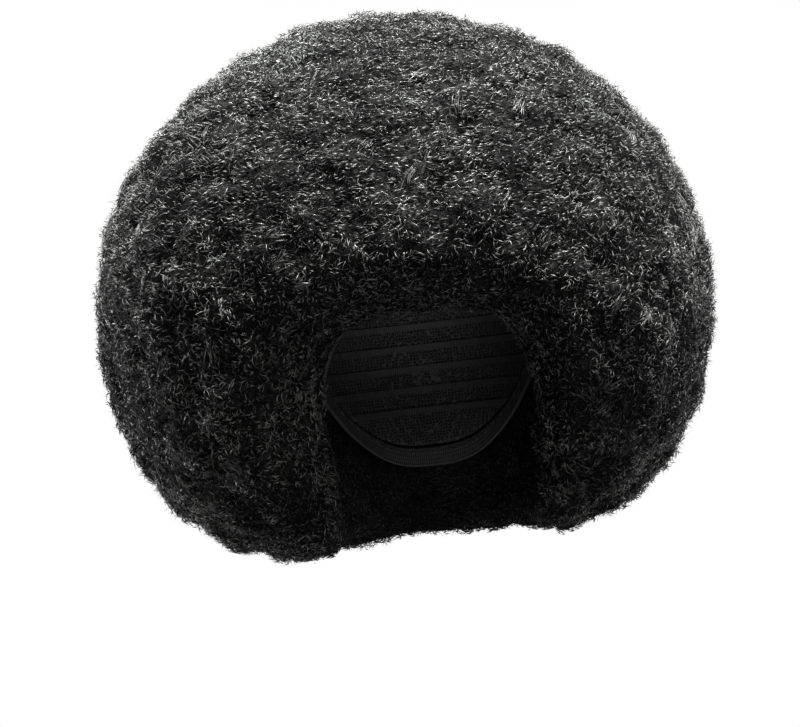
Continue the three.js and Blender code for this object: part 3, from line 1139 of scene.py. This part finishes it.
def add_floor(stage):
    """A pale round floor. It throws no light up at the wig, and glows a little to look pale."""
    bm = bmesh.new()
    bmesh.ops.create_circle(bm, cap_ends=True, segments=FLOOR_SIDES, radius=FLOOR_RADIUS)
    bmesh.ops.translate(bm, verts=bm.verts, vec=(0, 0, -stage.floor_below))
    mesh = finished(bm, "floor")
    material, graph, shader = new_material("floor", stage.floor)
    pale = (*stage.floor, 1)
    graph.feed(shader, {"Base Color": pale, "Roughness": 0.9})
    graph.feed(shader, {"Emission Color": pale, "Emission Strength": FLOOR_GLOW})
    mesh.materials.append(material)
    floor = bpy.data.objects.new("floor", mesh)
    bpy.context.scene.collection.objects.link(floor)
    floor.visible_glossy = False
    floor.visible_diffuse = False


def add_camera(stage):
    """A level camera that looks along +Y, with the opening right of and below the middle."""
    lens = bpy.data.cameras.new("camera")
    lens.sensor_width = SENSOR
    lens.lens = SENSOR * stage.camera_distance / stage.picture_width
    lens.clip_end = 50
    camera = bpy.data.objects.new("camera", lens)
    bpy.context.scene.collection.objects.link(camera)
    right = Vector((math.cos(stage.lean), 0, -math.sin(stage.lean)))
    up = Vector((math.sin(stage.lean), 0, math.cos(stage.lean)))
    back = Vector((0, -1, 0))
    middle = OPENING - right * stage.aim_aside + up * stage.aim_above
    turn = Matrix((right, up, back)).transposed().to_4x4()
    camera.matrix_world = Matrix.Translation(middle + back * stage.camera_distance) @ turn
    return camera


class AFRO_OT_stage(bpy.types.Operator):
    """Set up the floor, the lights and the camera"""

    bl_idname = "afro.stage"
    bl_label = "Stage"

    def execute(self, context):
        _, _, stage = settings(context)
        add_floor(stage)
        for row in LIGHTS:
            add_light(row)
        context.scene.world = studio_world()
        context.scene.camera = add_camera(stage)
        context.scene.view_settings.view_transform = "Standard"
        return {"FINISHED"}


STEPS = (
    AFRO_OT_hair_mass,
    AFRO_OT_under_frizz,
    AFRO_OT_frizz,
    AFRO_OT_tufts,
    AFRO_OT_fuzz,
    AFRO_OT_cap,
    AFRO_OT_tapes,
    AFRO_OT_band,
    AFRO_OT_stitches,
    AFRO_OT_stage,
)


class AFRO_PT_wig(bpy.types.Panel):
    """Lists the settings and steps of the wig"""

    bl_label = "Afro Wig"
    bl_idname = "AFRO_PT_wig"
    bl_space_type = "VIEW_3D"
    bl_region_type = "UI"
    bl_category = "Afro Wig"

    def draw(self, context):
        for group in settings(context):
            box = self.layout.box()
            for key in group.__annotations__:
                box.prop(group, key)
        column = self.layout.column()
        for step in STEPS:
            column.operator(step.bl_idname)


GROUPS = {"afro_hair": HairSettings, "afro_cap": CapSettings, "afro_stage": StageSettings}
CLASSES = (*GROUPS.values(), *STEPS, AFRO_PT_wig)


def register():
    for cls in CLASSES:
        bpy.utils.register_class(cls)
    for name, group in GROUPS.items():
        setattr(bpy.types.Scene, name, PointerProperty(type=group))


def unregister():
    for name in GROUPS:
        delattr(bpy.types.Scene, name)
    for cls in reversed(CLASSES):
        bpy.utils.unregister_class(cls)


def main():
    register()
    bpy.ops.afro.hair_mass()
    bpy.ops.afro.under_frizz()
    bpy.ops.afro.frizz()
    bpy.ops.afro.tufts()
    bpy.ops.afro.fuzz()
    bpy.ops.afro.cap()
    bpy.ops.afro.tapes()
    bpy.ops.afro.band()
    bpy.ops.afro.stitches()
    bpy.ops.afro.stage()


if __name__ == "__main__":
    main()
